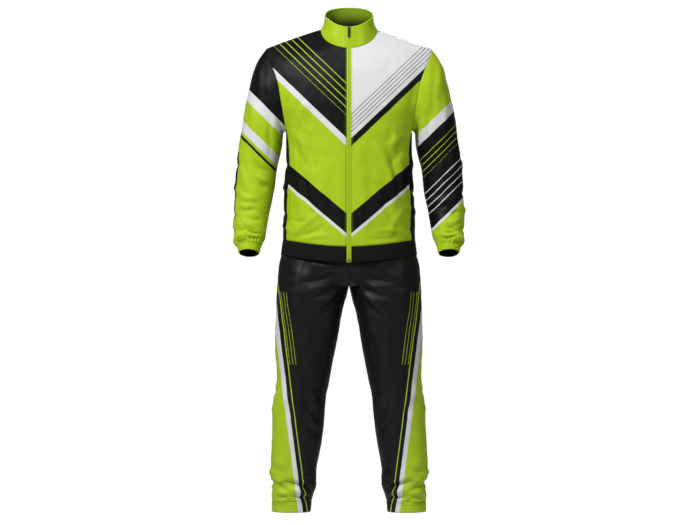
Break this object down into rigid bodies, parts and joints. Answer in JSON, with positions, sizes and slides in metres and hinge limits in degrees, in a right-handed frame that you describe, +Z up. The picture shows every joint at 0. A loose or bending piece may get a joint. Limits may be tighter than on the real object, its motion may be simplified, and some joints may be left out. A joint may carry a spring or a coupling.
{
  "type": "tracksuit",
  "caption": "Zipped stand-collar jacket with ribbed cuffs and hem over straight trousers, hollow and upright as worn, with a swinging zip pull.",
  "frame": {"origin": "middle of the neck opening at the height of the shoulder seams, where the wearer holds the jacket up", "axes": "+Z up, -Y the way the suit faces, +X the wearer's left"},
  "size_m": [0.7036, 0.286, 1.5382],
  "materials": {
    "jacket_print": "matt knit, printed in lime, black and white",
    "trouser_print": "matt knit, printed in black, lime and white",
    "lime_knit": "matt knit",
    "lime_rib": "elastic rib",
    "black_knit": "matt knit",
    "black_rib": "elastic rib",
    "zip_tape": "woven tape with a nylon coil",
    "zip_metal": "grey lacquer",
    "pull_rubber": "moulded black"
  },
  "bodies": {
    "garment": {"front_right": "jacket_print", "front_left": "jacket_print", "back": "jacket_print", "side_panel_right": "black_knit", "side_panel_left": "black_knit", "sleeve_right": "jacket_print", "sleeve_left": "jacket_print", "cuff_right": "lime_rib", "cuff_left": "lime_rib", "collar": "lime_knit", "hem_band": "black_rib", "zip_tape_right": "zip_tape", "zip_tape_left": "zip_tape", "zip_slider": "zip_metal", "zip_box": "zip_metal", "pocket_welt_right": "jacket_print", "pocket_welt_left": "jacket_print", "trouser_front_right": "trouser_print", "trouser_front_left": "trouser_print", "trouser_back_right": "trouser_print", "trouser_back_left": "trouser_print", "waistband": "black_rib", "leg_cuff_right": "trouser_print", "leg_cuff_left": "trouser_print"},
    "pull": {"pull_tab": "pull_rubber"}
  },
  "joints": [
    {"name": "pull_hinge", "type": "hinge", "parent": "garment", "child": "pull", "pos_m": [0, -0.08285, 0.00939], "axis": [-1, 0, 0], "range_deg": [0, 150]}
  ]
}
